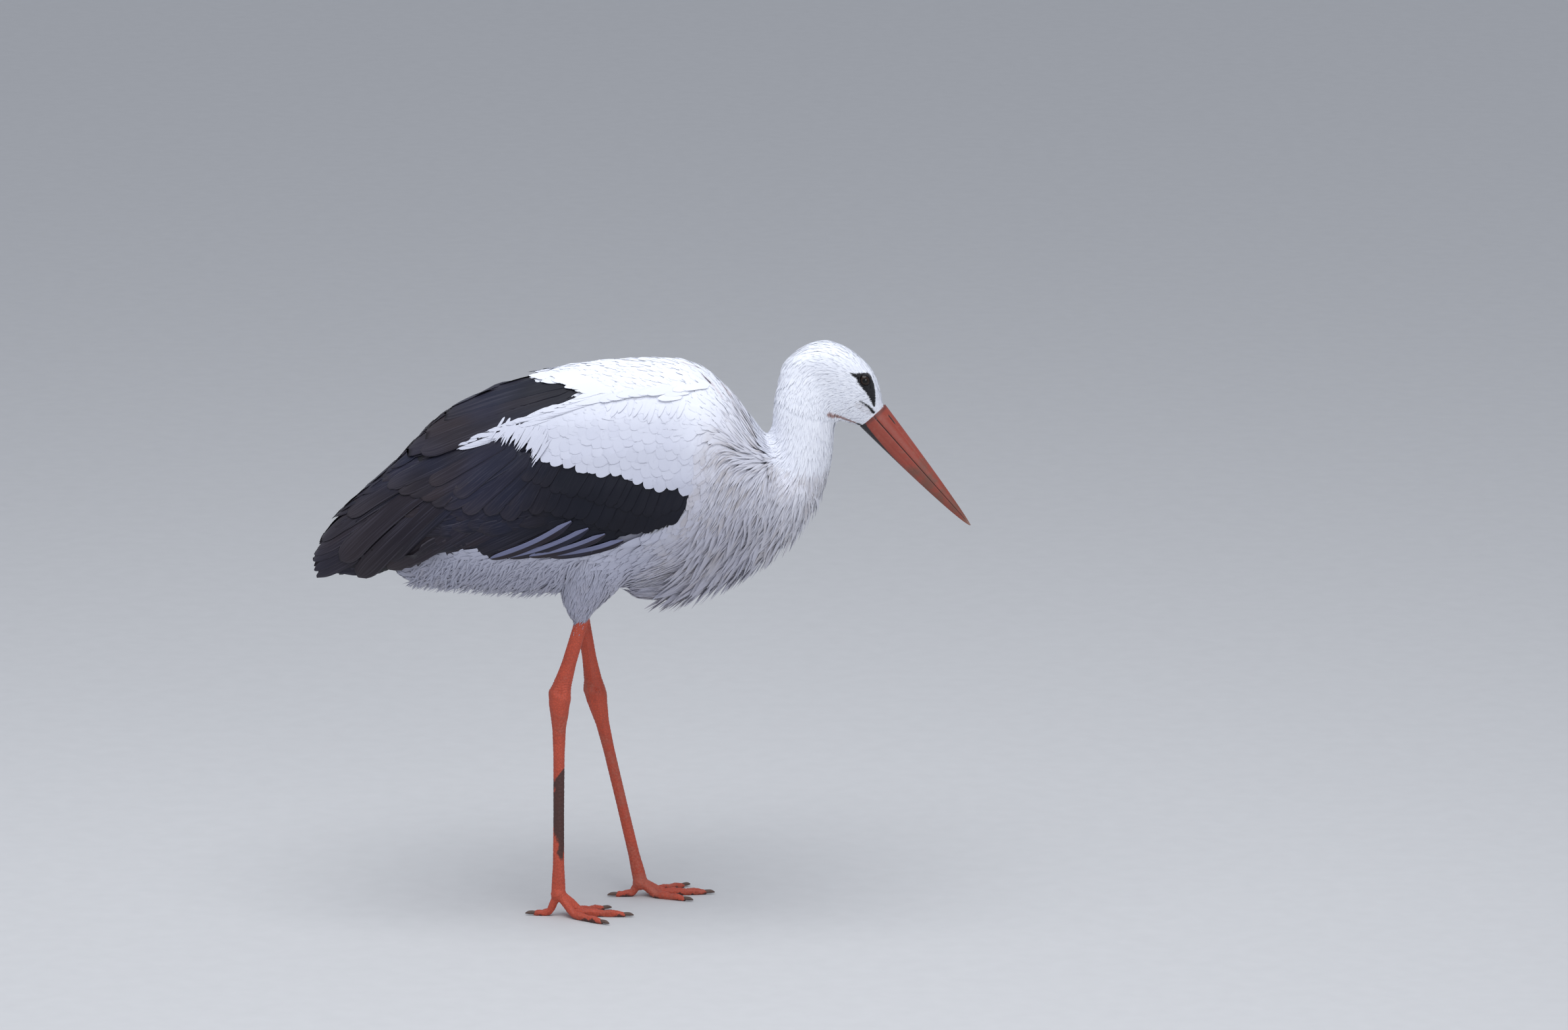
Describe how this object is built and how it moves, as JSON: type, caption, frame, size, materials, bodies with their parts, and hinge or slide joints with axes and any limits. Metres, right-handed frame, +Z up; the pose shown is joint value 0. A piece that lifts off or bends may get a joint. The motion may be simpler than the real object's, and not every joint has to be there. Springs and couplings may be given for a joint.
{
  "type": "white stork model",
  "caption": "Life-size still model of a white stork standing with its neck drawn in and its long bill pointing down, on two slender legs.",
  "frame": {"origin": "middle of the model's box, on the floor plane under the soles", "axes": "+X the way the bird faces, +Y its left side, +Z up"},
  "size_m": [0.7018, 0.193, 0.6164],
  "materials": {
    "white_plumage": "soft white feathers, greyish buff on the breast",
    "black_plumage": "black flight feathers with a blue and purple sheen",
    "bill_horn": "brick-red horn, satin, a little scuffed",
    "leg_skin": "orange-red scaled skin",
    "claw_horn": "greyish brown horn",
    "eye": "dark, glossy and wet"
  },
  "bodies": {
    "root": {"head": "white_plumage", "neck_upper": "white_plumage", "neck_lower": "white_plumage", "breast": "white_plumage", "trunk": "white_plumage", "rump": "white_plumage", "tail": "white_plumage", "thigh_right": "white_plumage", "thigh_left": "white_plumage", "wing_right_coverts": "white_plumage", "wing_left_coverts": "white_plumage", "wing_right_secondaries": "black_plumage", "wing_left_secondaries": "black_plumage", "wing_right_primaries": "black_plumage", "wing_left_primaries": "black_plumage", "bill_upper": "bill_horn", "bill_lower": "bill_horn", "eye_right": "eye", "eye_left": "eye", "shank_right": "leg_skin", "shank_left": "leg_skin", "tarsus_right": "leg_skin", "tarsus_left": "leg_skin", "foot_right": "leg_skin", "foot_left": "leg_skin", "claw_right_inner": "claw_horn", "claw_right_middle": "claw_horn", "claw_right_outer": "claw_horn", "claw_right_hind": "claw_horn", "claw_left_inner": "claw_horn", "claw_left_middle": "claw_horn", "claw_left_outer": "claw_horn", "claw_left_hind": "claw_horn"}
  },
  "joints": []
}
